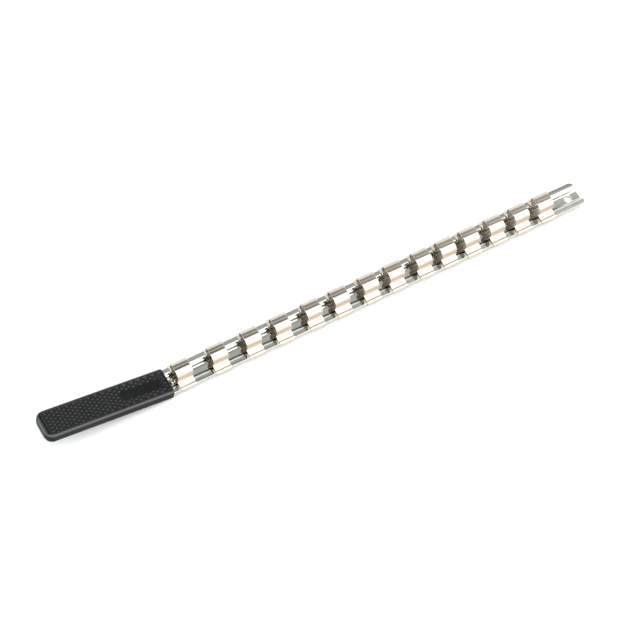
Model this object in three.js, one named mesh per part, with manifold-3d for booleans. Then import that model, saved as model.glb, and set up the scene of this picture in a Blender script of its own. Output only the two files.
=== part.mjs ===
// Socket rail: a rolled steel channel rail with a moulded handle, a hanging hole and fourteen spring clips that
// slide along it. Each clip grips the square drive recess of one socket.
// Millimetres, +Z up, +X from the handle to the free end of the rail. The model is built from the bend where the
// rail leaves the handle, at the height of the flanges, and is centred over its lowest point at the end.

import * as THREE from 'three';
import { mergeVertices } from 'three/addons/utils/BufferGeometryUtils.js';
import Module from 'manifold-3d';

const wasm = await Module();
wasm.setup();

// Rail: one strip of sheet, rolled to two flanges, two sloped walls and a web.
const railWidth = 20.9;
const sheetThickness = 1.2;
const channelDepth = 3.2;
const webFlatWidth = 4.6;
const wallAngle = THREE.MathUtils.degToRad(58);
const flangeBendRadius = 2.1;
const webBendRadius = 1.6;
const railLength = 339.7;
const flangeCornerRadius = 3;
const hangHoleDiameter = 6.2;
const hangHoleFromEnd = 8.7;
const tangLength = 66;

// Handle: a moulding over the rail's bent-up tang, a little wider at its free end.
const handlePitch = THREE.MathUtils.degToRad(9.2);
const handleLength = 97.6;
const handleMouthWidth = 23.2;
const handleFreeWidth = 24;
const handleThickness = 7.8;
const handleTopAboveFlange = 2.3;
const handleTopEdgeRadius = 2.6;
const handleBottomEdgeRadius = 2.5;
const handleFreeCornerRadius = 6.5;
const handleMouthCornerRadius = 1.8;
const handleMouthEdgeRadius = 0.8;
const noseLength = 4.2;
const noseDrop = 3.2;
const mouthFromBend = 0.5;
const tangClearance = 0.3;

// Rivet in the web, between the handle and the first clip.
const rivetFromBend = 2.9;
const rivetHeadDiameter = 4.2;
const rivetHeadHeight = 1.3;
const rivetShankDiameter = 2.4;
const rivetTailDiameter = 3.4;
const rivetTailHeight = 0.7;
const rivetClearance = 0.1;

// Clips: one strip of spring steel each, bent to an arch over a neck, with feet that hook round the flanges.
const stripWidth = 12;
const stripThickness = 0.7;
const archWidth = 13;
const archHeight = 12.9;
const shoulderRadius = 4.15;
const cheekRadius = 4.2;
const cheekCornerHeight = 5.5;
const neckWidth = 8.3;
const neckHeight = 1.9;
const neckRadius = 1.3;
const footFoldWidth = 17.8;
const footFoldRadius = 0.8;
const footRise = 0.3;
const hookTopRadius = 0.8;
const hookBottomRadius = 0.7;
const lipReach = 2;
const footClearance = 0.1;
const edgeClearance = 0.1;
const lipClearance = 0.2;

// Where the clips stand: the first and last are placed from the rail's ends, and the rest lie between them.
const firstClipFromBend = 10.7;
const lastClipFromEnd = 32.5;
const clipPlaceShares = [
  0, 0.0938, 0.1835, 0.2634, 0.3481, 0.4239, 0.5039, 0.5754, 0.653, 0.7211, 0.7875, 0.8597, 0.9309, 1,
];

// How far a cutter runs past what it cuts, and how far a facet may lie inside the curve it stands for.
const overrun = 1;
const facetSag = 0.025;

const zincPlate = new THREE.MeshStandardMaterial({ color: 0xa7aca6, roughness: 0.34, metalness: 1 });
const nickelPlate = new THREE.MeshStandardMaterial({ color: 0xcfc2b4, roughness: 0.16, metalness: 1 });
const blackMoulding = new THREE.MeshStandardMaterial({ color: 0x2b2d2d, roughness: 0.55, metalness: 0 });
const rivetSteel = new THREE.MeshStandardMaterial({ color: 0xb4b5ae, roughness: 0.3, metalness: 1 });

// The number of facets that an arc needs.
function facetCount(radius, angle) {
  const step = 2 * Math.acos(1 - Math.min(facetSag / radius, 1));
  return Math.max(2, Math.ceil(Math.abs(angle) / step));
}

// A line through corners, each a place and a bend radius, as points with the normal on the line's left.
function bentLine(corners) {
  const line = [];
  const push = (point, angle) => line.push({ point, normal: new THREE.Vector2(-Math.sin(angle), Math.cos(angle)) });
  const directions = corners.slice(1).map((corner, i) => corner.place.clone().sub(corners[i].place).normalize());
  push(corners[0].place, directions[0].angle());
  for (let i = 1; i < corners.length - 1; i += 1) {
    const before = directions[i - 1];
    const after = directions[i];
    const turn = Math.atan2(before.cross(after), before.dot(after));
    const radius = corners[i].radius;
    const reach = radius * Math.tan(Math.abs(turn) / 2);
    const start = corners[i].place.clone().addScaledVector(before, -reach);
    const side = new THREE.Vector2(-before.y, before.x).multiplyScalar(Math.sign(turn) * radius);
    const centre = start.clone().add(side);
    const count = facetCount(radius, turn);
    for (let k = 0; k <= count; k += 1) {
      const angle = (turn * k) / count;
      push(start.clone().rotateAround(centre, angle), before.angle() + angle);
    }
  }
  push(corners[corners.length - 1].place, directions[directions.length - 1].angle());
  return line;
}

// The closed outline of a strip of a given thickness, bent along a line and its mirror image.
function stripOutline(halfCorners, thickness) {
  const mirrored = halfCorners.map(({ place, radius }) => ({ place: new THREE.Vector2(-place.x, place.y), radius }));
  const line = bentLine([...mirrored.reverse(), ...halfCorners]);
  const left = line.map(({ point, normal }) => point.clone().addScaledVector(normal, thickness / 2));
  const right = line.map(({ point, normal }) => point.clone().addScaledVector(normal, -thickness / 2));
  return [...right, ...left.reverse()];
}

// A closed body through rings of points, all with as many points, with its two ends capped.
function loft(rings) {
  const count = rings[0].length;
  const positions = rings.flat().flatMap((point) => point.toArray());
  const indices = [];
  for (let r = 0; r < rings.length - 1; r += 1) {
    for (let i = 0; i < count; i += 1) {
      const a = r * count + i;
      const b = r * count + ((i + 1) % count);
      indices.push(a, b, a + count, b, b + count, a + count);
    }
  }
  const flat = rings[0].map((point) => new THREE.Vector2(point.y, point.z));
  const last = (rings.length - 1) * count;
  for (const [a, b, c] of THREE.ShapeUtils.triangulateShape(flat, [])) {
    indices.push(a, c, b, last + a, last + b, last + c);
  }
  const geometry = new THREE.BufferGeometry();
  geometry.setAttribute('position', new THREE.Float32BufferAttribute(positions, 3));
  geometry.setIndex(indices);
  return facingOut(geometry);
}

// Turns a closed body's faces round if they point inwards.
function facingOut(geometry) {
  const position = geometry.getAttribute('position');
  const index = geometry.getIndex().array;
  const corner = (i) => new THREE.Vector3().fromBufferAttribute(position, index[i]);
  let volume = 0;
  for (let i = 0; i < index.length; i += 3) {
    volume += corner(i).dot(corner(i + 1).cross(corner(i + 2)));
  }
  if (volume < 0) {
    geometry.setIndex(Array.from(index).reverse());
  }
  return geometry;
}

// A closed body with only its positions, each corner held once.
function welded(geometry) {
  const plain = geometry.clone();
  plain.deleteAttribute('normal');
  plain.deleteAttribute('uv');
  return facingOut(mergeVertices(plain));
}

function solidOf(geometry) {
  const body = welded(geometry);
  const vertProperties = body.getAttribute('position').array;
  const triVerts = Uint32Array.from(body.getIndex().array);
  return new wasm.Manifold(new wasm.Mesh({ numProp: 3, vertProperties, triVerts }));
}

function geometryOf(solid) {
  const mesh = solid.getMesh();
  const geometry = new THREE.BufferGeometry();
  geometry.setAttribute('position', new THREE.BufferAttribute(mesh.vertProperties, 3));
  geometry.setIndex(Array.from(mesh.triVerts));
  return geometry;
}

// Cuts each tool in turn out of a body.
function cut(geometry, tools) {
  return geometryOf(tools.reduce((solid, tool) => solid.subtract(solidOf(tool)), solidOf(geometry)));
}

// An upright round bar, from a low height to a high one.
function uprightBar(x, radius, low, high) {
  const bar = new THREE.CylinderGeometry(radius, radius, high - low, facetCount(radius, 2 * Math.PI));
  bar.rotateX(Math.PI / 2);
  bar.translate(x, 0, (low + high) / 2);
  return bar;
}

const webTop = -channelDepth;
const webBottom = webTop - sheetThickness;

// The rail's section, or the section of a pocket that clears it all round.
function railSection(clearance) {
  const wallRun = channelDepth / Math.tan(wallAngle);
  const webCorner = webFlatWidth / 2 + webBendRadius * Math.tan(wallAngle / 2);
  const half = [
    { place: new THREE.Vector2(webCorner, webTop - sheetThickness / 2), radius: webBendRadius },
    { place: new THREE.Vector2(webCorner + wallRun, -sheetThickness / 2), radius: flangeBendRadius },
    { place: new THREE.Vector2(railWidth / 2 + clearance, -sheetThickness / 2), radius: 0 },
  ];
  return stripOutline(half, sheetThickness + 2 * clearance);
}

// Cutter that rounds one corner of the rail's free end; side is 1 for the far flange and -1 for the near one.
function flangeCornerCutter(side) {
  const edge = railWidth / 2;
  const outline = new THREE.Shape();
  outline.moveTo(railLength - flangeCornerRadius, edge + overrun);
  outline.lineTo(railLength - flangeCornerRadius, edge);
  const count = facetCount(flangeCornerRadius, Math.PI / 2);
  for (let k = 1; k <= count; k += 1) {
    const angle = ((Math.PI / 2) * (count - k)) / count;
    outline.lineTo(
      railLength - flangeCornerRadius + flangeCornerRadius * Math.cos(angle),
      edge - flangeCornerRadius + flangeCornerRadius * Math.sin(angle),
    );
  }
  outline.lineTo(railLength + overrun, edge - flangeCornerRadius);
  outline.lineTo(railLength + overrun, edge + overrun);
  const depth = sheetThickness + 2 * overrun;
  const cutter = new THREE.ExtrudeGeometry(outline, { depth, bevelEnabled: false });
  cutter.translate(0, 0, -sheetThickness - overrun);
  cutter.scale(1, side, 1);
  return cutter;
}

// Rail: straight from its free end to the bend, then a tang that rises into the handle.
function railGeometry() {
  const section = railSection(0);
  const mitre = Math.tan(handlePitch / 2);
  const along = new THREE.Vector3(-Math.cos(handlePitch), 0, Math.sin(handlePitch));
  const up = new THREE.Vector3(Math.sin(handlePitch), 0, Math.cos(handlePitch));
  const freeEnd = section.map(({ x, y }) => new THREE.Vector3(railLength, x, y));
  const bend = section.map(({ x, y }) => new THREE.Vector3(y * mitre, x, y));
  const tangEnd = section.map(({ x, y }) => (
    new THREE.Vector3(0, x, 0).addScaledVector(along, tangLength).addScaledVector(up, y)
  ));
  const low = webBottom - overrun;
  return cut(loft([freeEnd, bend, tangEnd]), [
    flangeCornerCutter(1),
    flangeCornerCutter(-1),
    uprightBar(railLength - hangHoleFromEnd, hangHoleDiameter / 2, low, overrun),
    uprightBar(rivetFromBend, rivetShankDiameter / 2 + rivetClearance, low, overrun),
  ]);
}

// How far a rounded corner has drawn in at a distance from its end.
function cornerInset(distance, length, inset) {
  const left = Math.max(0, 1 - distance / length);
  return inset * (1 - Math.sqrt(Math.max(0, 1 - left * left)));
}

// One ring of the moulding: a rounded rectangle at a distance from its mouth, in the handle's own tilted frame.
function handleRing(distance) {
  const toEnd = handleLength - distance;
  const width = THREE.MathUtils.lerp(handleMouthWidth, handleFreeWidth, distance / handleLength);
  const halfWidth = width / 2
    - cornerInset(toEnd, handleFreeCornerRadius, handleFreeCornerRadius)
    - cornerInset(distance, handleMouthCornerRadius, handleMouthCornerRadius);
  const mouthInset = cornerInset(distance, handleMouthEdgeRadius, handleMouthEdgeRadius);
  const top = handleTopAboveFlange - mouthInset - cornerInset(toEnd, noseLength, noseDrop);
  const bottom = handleTopAboveFlange - handleThickness + mouthInset
    + cornerInset(toEnd, handleBottomEdgeRadius, handleBottomEdgeRadius);
  const topRadius = Math.min(handleTopEdgeRadius, (top - bottom) / 2);
  const bottomRadius = Math.min(handleBottomEdgeRadius, (top - bottom) / 2);
  const corners = [
    { y: halfWidth, z: bottom, radius: bottomRadius, start: -Math.PI / 2 },
    { y: halfWidth, z: top, radius: topRadius, start: 0 },
    { y: -halfWidth, z: top, radius: topRadius, start: Math.PI / 2 },
    { y: -halfWidth, z: bottom, radius: bottomRadius, start: Math.PI },
  ];
  const count = facetCount(handleTopEdgeRadius, Math.PI / 2);
  return corners.flatMap(({ y, z, radius, start }) => Array.from({ length: count + 1 }, (_, k) => {
    const angle = start + ((Math.PI / 2) * k) / count;
    const centreY = y - Math.sign(y) * radius;
    const centreZ = z === top ? z - radius : z + radius;
    return new THREE.Vector3(
      -mouthFromBend - distance,
      centreY + radius * Math.cos(angle),
      centreZ + radius * Math.sin(angle),
    );
  }));
}

// Handle: rings close together round its two ends, with a pocket for the tang.
function handleGeometry() {
  const arcDistances = (radius) => {
    const count = facetCount(radius, Math.PI / 2);
    return Array.from({ length: count + 1 }, (_, k) => radius * (1 - Math.cos(((Math.PI / 2) * k) / count)));
  };
  const mouth = [...arcDistances(handleMouthEdgeRadius), handleMouthCornerRadius];
  const free = arcDistances(handleFreeCornerRadius).map((distance) => handleLength - distance).reverse();
  const body = loft([...mouth, ...free].map(handleRing));
  const pocket = railSection(tangClearance);
  const pocketEnds = [overrun, -tangLength - tangClearance];
  return cut(body, [loft(pocketEnds.map((x) => pocket.map((point) => new THREE.Vector3(x, point.x, point.y))))]);
}

// Rivet: a domed head on the web, a shank through it and a flat tail below.
function rivetGeometry() {
  const headSeat = webTop + rivetClearance;
  const tailSeat = webBottom - rivetClearance;
  const headRadius = rivetHeadDiameter / 2;
  const domeRadius = (headRadius * headRadius + rivetHeadHeight * rivetHeadHeight) / (2 * rivetHeadHeight);
  const domeAngle = Math.asin(headRadius / domeRadius);
  const count = facetCount(domeRadius, domeAngle);
  const profile = [
    new THREE.Vector2(0, tailSeat - rivetTailHeight),
    new THREE.Vector2(rivetTailDiameter / 2, tailSeat - rivetTailHeight),
    new THREE.Vector2(rivetTailDiameter / 2, tailSeat),
    new THREE.Vector2(rivetShankDiameter / 2, tailSeat),
    new THREE.Vector2(rivetShankDiameter / 2, headSeat),
    new THREE.Vector2(headRadius, headSeat),
  ];
  for (let k = 1; k <= count; k += 1) {
    const angle = (domeAngle * (count - k)) / count;
    const height = headSeat + rivetHeadHeight - domeRadius * (1 - Math.cos(angle));
    profile.push(new THREE.Vector2(domeRadius * Math.sin(angle), height));
  }
  const lathe = new THREE.LatheGeometry(profile, facetCount(headRadius, 2 * Math.PI));
  lathe.rotateX(Math.PI / 2);
  lathe.translate(rivetFromBend, 0, 0);
  return welded(lathe);
}

// Clip: the strip's outline across the rail, as wide as the strip along it.
function clipGeometry() {
  const halfStrip = stripThickness / 2;
  const hookFace = railWidth / 2 + edgeClearance + halfStrip;
  const footLine = footClearance + halfStrip;
  const lipLine = -sheetThickness - lipClearance - halfStrip;
  const cheek = archWidth / 2 - halfStrip;
  const half = [
    { place: new THREE.Vector2(cheek, archHeight - halfStrip), radius: shoulderRadius },
    { place: new THREE.Vector2(cheek, cheekCornerHeight), radius: cheekRadius },
    { place: new THREE.Vector2(neckWidth / 2, neckHeight), radius: neckRadius },
    { place: new THREE.Vector2(footFoldWidth / 2, footLine), radius: footFoldRadius },
    { place: new THREE.Vector2(hookFace, footLine + footRise), radius: hookTopRadius },
    { place: new THREE.Vector2(hookFace, lipLine), radius: hookBottomRadius },
    { place: new THREE.Vector2(hookFace - lipReach, lipLine), radius: 0 },
  ];
  const outline = new THREE.Shape(stripOutline(half, stripThickness));
  const strip = new THREE.ExtrudeGeometry(outline, { depth: stripWidth, bevelEnabled: false });
  strip.translate(0, 0, -stripWidth / 2);
  strip.applyMatrix4(new THREE.Matrix4().makeBasis(
    new THREE.Vector3(0, 1, 0),
    new THREE.Vector3(0, 0, 1),
    new THREE.Vector3(1, 0, 0),
  ));
  return welded(strip);
}

// One named piece of the assembly.
function piece(name, geometry, material) {
  const mesh = new THREE.Mesh(geometry, material);
  mesh.name = name;
  return mesh;
}

const model = new THREE.Group();
model.add(piece('rail', railGeometry(), zincPlate));
model.add(piece('mouth_rivet', rivetGeometry(), rivetSteel));

const handle = new THREE.Group();
handle.rotation.y = handlePitch;
handle.add(piece('handle_grip', handleGeometry(), blackMoulding));
model.add(handle);

const clipSpan = railLength - firstClipFromBend - lastClipFromEnd;
clipPlaceShares.forEach((share, i) => {
  const clip = piece(`clip_${String(i + 1).padStart(2, '0')}`, clipGeometry(), nickelPlate);
  clip.position.x = firstClipFromBend + share * clipSpan;
  model.add(clip);
});

// The origin lies under the middle of the whole rail, at its lowest point.
const bounds = new THREE.Box3().setFromObject(model, true);
model.position.set(-(bounds.min.x + bounds.max.x) / 2, -(bounds.min.y + bounds.max.y) / 2, -bounds.min.z);

const socketRail = new THREE.Group();
socketRail.add(model);

export default socketRail;
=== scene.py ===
"""Socket rail: a rolled steel rail with a moulded handle, a hanging hole and fourteen sliding spring clips.

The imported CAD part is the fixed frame. Each piece here is one closed surface, worked out with numpy from the
same sizes in millimetres, and stands for the plain solid that it replaces.
"""

import logging
import math
from dataclasses import dataclass, field
from enum import Enum
from typing import Any, Sequence

import bmesh
import bpy
import numpy as np
from bpy.types import Material, Mesh, Node, NodeSocket, NodeTree, Object
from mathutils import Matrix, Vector


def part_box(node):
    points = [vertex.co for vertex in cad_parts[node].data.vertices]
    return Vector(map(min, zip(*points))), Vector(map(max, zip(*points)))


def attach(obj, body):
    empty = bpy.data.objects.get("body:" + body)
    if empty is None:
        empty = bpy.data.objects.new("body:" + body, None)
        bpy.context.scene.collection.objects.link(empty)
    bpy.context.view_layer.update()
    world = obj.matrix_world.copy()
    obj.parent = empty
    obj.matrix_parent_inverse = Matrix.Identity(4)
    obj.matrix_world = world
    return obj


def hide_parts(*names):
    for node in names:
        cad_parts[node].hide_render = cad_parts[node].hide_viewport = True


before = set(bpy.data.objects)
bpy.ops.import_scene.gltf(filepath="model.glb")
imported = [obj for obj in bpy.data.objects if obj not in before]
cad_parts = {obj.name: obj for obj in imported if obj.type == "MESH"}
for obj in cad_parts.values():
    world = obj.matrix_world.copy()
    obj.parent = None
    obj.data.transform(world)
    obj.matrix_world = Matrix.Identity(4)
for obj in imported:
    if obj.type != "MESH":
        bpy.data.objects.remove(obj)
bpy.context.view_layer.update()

MM = 0.001
# Points of a piece that lie closer together than this become one, in millimetres.
MERGE_DISTANCE = 0.002
# Play in a comparison of two places, in millimetres.
SNAP = 0.001
SHARP_ANGLE = math.radians(42.0)
HALF_TURN = 180.0
WHITE = (1.0, 1.0, 1.0, 1.0)
# Where most of a noise factor lies, and most of two factors' product.
NOISE_MIDDLE = (0.3, 0.7)
NOISE_PRODUCT = (0.12, 0.42)
NOISE_ROUGHNESS = 0.55
CLOUD_DETAIL = 4.0
GRAIN_DETAIL = 3.0
# Upward share of the normal of every face that counts as an upper one.
LEAST_UPWARD = 0.2
log = logging.getLogger("socket_rail")


class SheetFace(Enum):
    """The two faces of a sheet, and which way each lies from its middle."""

    TOP = 1
    BOTTOM = -1


class Body(Enum):
    """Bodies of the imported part, other than the clips' own."""

    RAIL_AND_HANDLE = "rail_and_handle"


class Slot(Enum):
    """Material slots of the record."""

    ZINC = "zinc_steel"
    RIVET = "rivet_steel"
    NICKEL = "nickel_spring"
    MOULDING = "black_moulding"


@dataclass
class Surface:
    """Part of a closed surface: points in millimetres, four-sided faces, and caps of any number of sides."""

    points: np.ndarray
    quads: np.ndarray
    caps: list[np.ndarray] = field(default_factory=list)


@dataclass(frozen=True)
class BentLine:
    """A line bent round corners: its points, its left-hand normals and the distance along it."""

    points: np.ndarray
    normals: np.ndarray
    distance: np.ndarray


def linear(hex_code: str) -> tuple[float, float, float, float]:
    """Turns an sRGB hex value into a linear colour, by the curve of the sRGB standard.

    Args:
        hex_code: Six hex digits, with or without a leading hash.

    Returns:
        Red, green, blue and a full alpha.
    """
    digits = hex_code.lstrip("#")
    channels = np.array([int(digits[i:i + 2], 16) for i in (0, 2, 4)]) / 255
    values = np.where(channels <= 0.04045, channels / 12.92, ((channels + 0.055) / 1.055) ** 2.4)
    return (*map(float, values), 1.0)


def quarter(steps: int) -> np.ndarray:
    """Angles from nothing to a right angle, in equal steps."""
    return np.linspace(0, math.pi / 2, steps + 1)


def in_runs(places: Sequence[float], steps: Sequence[int]) -> np.ndarray:
    """Points along a line that falls into runs, each with its own number of equal steps.

    Args:
        places: Where the first run starts and where each run ends.
        steps: Steps in each run.

    Returns:
        The points, from the first place to the last.
    """
    ranges = zip(places, places[1:], steps)
    parts = [np.linspace(start, end, count, endpoint=False) for start, end, count in ranges]
    return np.concatenate([*parts, [places[-1]]])


def unit(rows: np.ndarray) -> np.ndarray:
    """Brings each row of an array to unit length."""
    return rows / np.linalg.norm(rows, axis=1)[:, None]


def turned(first: np.ndarray, second: np.ndarray, angle: float) -> tuple[np.ndarray, np.ndarray]:
    """Turns points in a plane from its first axis towards its second, and returns both coordinates."""
    cosine, sine = math.cos(angle), math.sin(angle)
    return first * cosine - second * sine, first * sine + second * cosine


def bent_line(corners: np.ndarray, radii: Sequence[float], arc_step: float, run_step: float) -> BentLine:
    """Samples a line that runs straight between corners and turns round each on a circular arc.

    A point on an arc is the arc's centre less the normal of its heading times the radius, which counts as
    negative where the line turns right.

    Args:
        corners: Corner places, one row each.
        radii: Bend radius at each corner; the two ends' are not used.
        arc_step: Largest turn between two points on an arc, in radians.
        run_step: Largest distance between two points on a straight run.

    Returns:
        The sampled line.
    """
    runs = np.diff(corners, axis=0)
    headings = np.unwrap(np.arctan2(runs[:, 1], runs[:, 0]))
    units = np.column_stack([np.cos(headings), np.sin(headings)])
    turns = np.diff(headings)
    bends = np.asarray(radii[1:-1], float)
    reach = bends * np.tan(np.abs(turns) / 2)
    starts = corners[:-1] + units * np.concatenate([[0.0], reach])[:, None]
    ends = corners[1:] - units * np.concatenate([reach, [0.0]])[:, None]
    points, angles = [], []
    for i, heading in enumerate(headings):
        count = max(2, math.ceil(np.linalg.norm(ends[i] - starts[i]) / run_step) + 1)
        share = np.linspace(0, 1, count)[:, None]
        points.append(starts[i] + (ends[i] - starts[i]) * share)
        angles.append(np.full(count, heading))
        if i < len(turns):
            count = max(3, math.ceil(abs(turns[i]) * max(1 / arc_step, bends[i] / run_step)) + 1)
            angle = heading + turns[i] * np.linspace(0, 1, count)[1:-1]
            side = np.sign(turns[i]) * bends[i]
            centre = ends[i] + side * np.array([-math.sin(heading), math.cos(heading)])
            points.append(centre - side * np.column_stack([-np.sin(angle), np.cos(angle)]))
            angles.append(angle)
    places = np.concatenate(points)
    angle = np.concatenate(angles)
    distance = np.concatenate([[0.0], np.cumsum(np.linalg.norm(np.diff(places, axis=0), axis=1))])
    return BentLine(places, np.column_stack([-np.sin(angle), np.cos(angle)]), distance)


def mirrored(half: np.ndarray, radii: Sequence[float]) -> tuple[np.ndarray, list[float]]:
    """Completes a symmetric line: its far half mirrored and reversed, and then the far half itself."""
    near = half[::-1] * np.array([-1.0, 1.0])
    return np.concatenate([near, half]), [*reversed(radii), *radii]


def rounding(distance: np.ndarray, length: float) -> np.ndarray:
    """The share by which a rounded end has drawn in: one less the height of a quarter circle."""
    left = np.clip(1 - distance / length, 0, 1)
    return 1 - np.sqrt(1 - left ** 2)


def grid_quads(rows: int, columns: int, closed: bool = False) -> np.ndarray:
    """Faces between neighbouring points of a grid.

    Args:
        rows: Number of rows.
        columns: Number of points in a row.
        closed: Whether each row's last point joins its first.

    Returns:
        Four point numbers for each face.
    """
    index = np.arange(rows * columns).reshape(rows, columns)
    if closed:
        index = np.column_stack([index, index[:, :1]])
    faces = np.stack([index[:-1, :-1], index[:-1, 1:], index[1:, 1:], index[1:, :-1]], axis=-1)
    return faces.reshape(-1, 4)


def loop_of(x: np.ndarray, y: np.ndarray) -> np.ndarray:
    """The closed border of a grid of crossings, once round, as rows of along and across."""
    grid = np.stack([x, y], axis=-1)
    return np.concatenate([grid[:-1, 0], grid[-1, :-1], grid[:0:-1, -1], grid[0, :0:-1]])


def tube(rings: np.ndarray) -> Surface:
    """A closed body through rings of points.

    Args:
        rings: An array of ring by point by axis.

    Returns:
        Its surface, with a cap on each end.
    """
    count, around, _ = rings.shape
    last = (count - 1) * around
    caps = [np.arange(around), np.arange(last, last + around)]
    return Surface(rings.reshape(-1, 3), grid_quads(count, around, closed=True), caps)


@dataclass(frozen=True)
class LoopSteps:
    """How many steps a rounded rectangle's corners, sides, top and bottom are drawn with."""

    corner: int
    side: int
    top: int
    bottom: int


def rounded_loops(half_width: np.ndarray, low: np.ndarray, high: np.ndarray, bottom_radius: np.ndarray,
                  top_radius: np.ndarray, steps: LoopSteps) -> np.ndarray:
    """Loops of points round rounded rectangles, one for each ring.

    A corner's points are its centre, one radius in from both sides, plus the radius times the cosine and the
    sine of an angle. The flats between two corners are straight runs.

    Args:
        half_width: Half the width of each ring's rectangle.
        low: Height of each rectangle's bottom.
        high: Height of each rectangle's top.
        bottom_radius: Radius of the two lower corners.
        top_radius: Radius of the two upper corners.
        steps: Steps in each corner and flat.

    Returns:
        An array of ring by point by (across, up), anticlockwise from the lower right corner.
    """
    parts = []
    for start, across, upper in ((-0.5, 1, False), (0.0, 1, True), (0.5, -1, True), (1.0, -1, False)):
        radius = (top_radius if upper else bottom_radius)[:, None]
        centre = (high[:, None] - radius) if upper else (low[:, None] + radius)
        angle = math.pi * start + quarter(steps.corner)
        parts.append(np.stack([
            across * (half_width[:, None] - radius) + radius * np.cos(angle),
            centre + radius * np.sin(angle),
        ], axis=-1))
    joined = []
    for i, count in enumerate((steps.side, steps.top, steps.side, steps.bottom)):
        share = np.linspace(0, 1, count + 1)[1:-1, None]
        first, second = parts[i][:, -1:], parts[(i + 1) % 4][:, :1]
        joined += [parts[i], first + (second - first) * share]
    return np.concatenate(joined, axis=1)


def make_piece(name: str, surfaces: Sequence[Surface], material: Material) -> Object:
    """Makes one mesh object from parts of a closed surface.

    Args:
        name: The piece's name.
        surfaces: Its parts, whose edges meet, in millimetres in the shared frame.
        material: Its finish.

    Returns:
        The object, with its place in its mesh.
    """
    starts = np.cumsum([0, *(len(part.points) for part in surfaces)])
    faces = []
    for part, start in zip(surfaces, starts):
        faces += (part.quads + start).tolist()
        faces += [(cap + start).tolist() for cap in part.caps]
    mesh = bpy.data.meshes.new(name)
    mesh.from_pydata((np.concatenate([part.points for part in surfaces]) * MM).tolist(), [], faces)
    shell = bmesh.new()
    shell.from_mesh(mesh)
    bmesh.ops.remove_doubles(shell, verts=shell.verts, dist=MERGE_DISTANCE * MM)
    bmesh.ops.recalc_face_normals(shell, faces=shell.faces)
    shell.to_mesh(mesh)
    shell.free()
    piece = bpy.data.objects.new(name, mesh)
    bpy.context.scene.collection.objects.link(piece)
    finish_shading(mesh, material, SHARP_ANGLE)
    return piece


def finish_shading(mesh: Mesh, material: Material, sharp_angle: float) -> None:
    """Gives a mesh its one material and smooth shading that breaks at sharp edges.

    Args:
        mesh: The mesh.
        material: Its finish.
        sharp_angle: Edges that turn by more than this stay sharp, in radians.
    """
    mesh.materials.clear()
    mesh.materials.append(material)
    mesh.shade_smooth()
    mesh.set_sharp_from_angle(angle=sharp_angle)


def cut_away(piece: Object, cutter: Object) -> None:
    """Cuts one closed body out of another, keeps the result as its mesh and deletes the cutter.

    Args:
        piece: The body that is cut.
        cutter: The body that is cut out of it.
    """
    modifier = piece.modifiers.new("cut", "BOOLEAN")
    modifier.operation = "DIFFERENCE"
    modifier.solver = "EXACT"
    modifier.object = cutter
    bpy.context.view_layer.update()
    result = bpy.data.meshes.new_from_object(piece.evaluated_get(bpy.context.evaluated_depsgraph_get()))
    piece.modifiers.clear()
    piece.data = result
    bpy.data.objects.remove(cutter)


def settle(piece: Object, body: str, node: str) -> None:
    """Rides a piece on its body and puts it in a CAD node's place, hiding the node's own part.

    Args:
        piece: The piece.
        body: The body that it moves with.
        node: The CAD node that it replaces.
    """
    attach(piece, body)
    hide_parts(node)
    log.info("%s: %d faces, on %s", piece.name, len(piece.data.polygons), body)


@dataclass(frozen=True)
class Place:
    """Where the rail's bend and the tops of its flanges lie in the shared frame, in millimetres."""

    bend_x: float
    flange_z: float

    def move(self, points: np.ndarray) -> np.ndarray:
        """Moves points from the bend's own frame to the shared frame."""
        return points + np.array([self.bend_x, 0.0, self.flange_z])


# Finishes


def add_node(tree: NodeTree, kind: str, links: dict[str | int, Any] | None = None,
             **settings: Any) -> Node:
    """Adds a node with its settings, and sets or links its inputs.

    Args:
        tree: The node tree that it goes into.
        kind: The node's type name.
        links: For each input's name or number, a value or the output that feeds it.
        **settings: Values of the node's own properties.

    Returns:
        The node.
    """
    node = tree.nodes.new(kind)
    for name, value in settings.items():
        setattr(node, name, value)
    for key, value in (links or {}).items():
        socket = node.inputs[key]
        if isinstance(value, NodeSocket):
            tree.links.new(value, socket)
        else:
            socket.default_value = value
    return node


def number(tree: NodeTree, operation: str, *values: Any) -> NodeSocket:
    """Works out one number from others."""
    return add_node(tree, "ShaderNodeMath", dict(enumerate(values)), operation=operation).outputs[0]


def vector(tree: NodeTree, operation: str, *values: Any) -> NodeSocket:
    """Works out one vector from others."""
    node = add_node(tree, "ShaderNodeVectorMath", dict(enumerate(values)), operation=operation)
    return node.outputs["Vector"]


def along(tree: NodeTree, first: Any, second: Any) -> NodeSocket:
    """Works out how far one vector reaches along another, as their dot product."""
    links = {0: first, 1: second}
    return add_node(tree, "ShaderNodeVectorMath", links, operation="DOT_PRODUCT").outputs["Value"]


def by_axis(tree: NodeTree, value: NodeSocket) -> bpy.types.bpy_prop_collection:
    """Splits a vector into its X, Y and Z."""
    return add_node(tree, "ShaderNodeSeparateXYZ", {"Vector": value}).outputs


def mapped(tree: NodeTree, value: NodeSocket, source: tuple[float, float],
           target: tuple[float, float] = (0.0, 1.0), shape: str = "LINEAR") -> NodeSocket:
    """Maps one range of a number onto another and holds its two ends.

    Args:
        tree: The node tree.
        value: The number.
        source: Where its range starts and ends.
        target: The results at those two places.
        shape: How it runs between them.

    Returns:
        The result.
    """
    links = {"Value": value, "From Min": source[0], "From Max": source[1]}
    links |= {"To Min": target[0], "To Max": target[1]}
    return add_node(tree, "ShaderNodeMapRange", links, interpolation_type=shape).outputs["Result"]


def mixed_colour(tree: NodeTree, share: Any, first: Any, second: Any) -> NodeSocket:
    """Mixes two colours by the second one's share."""
    return add_node(tree, "ShaderNodeMix", {0: share, 6: first, 7: second}, data_type="RGBA").outputs[2]


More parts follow.
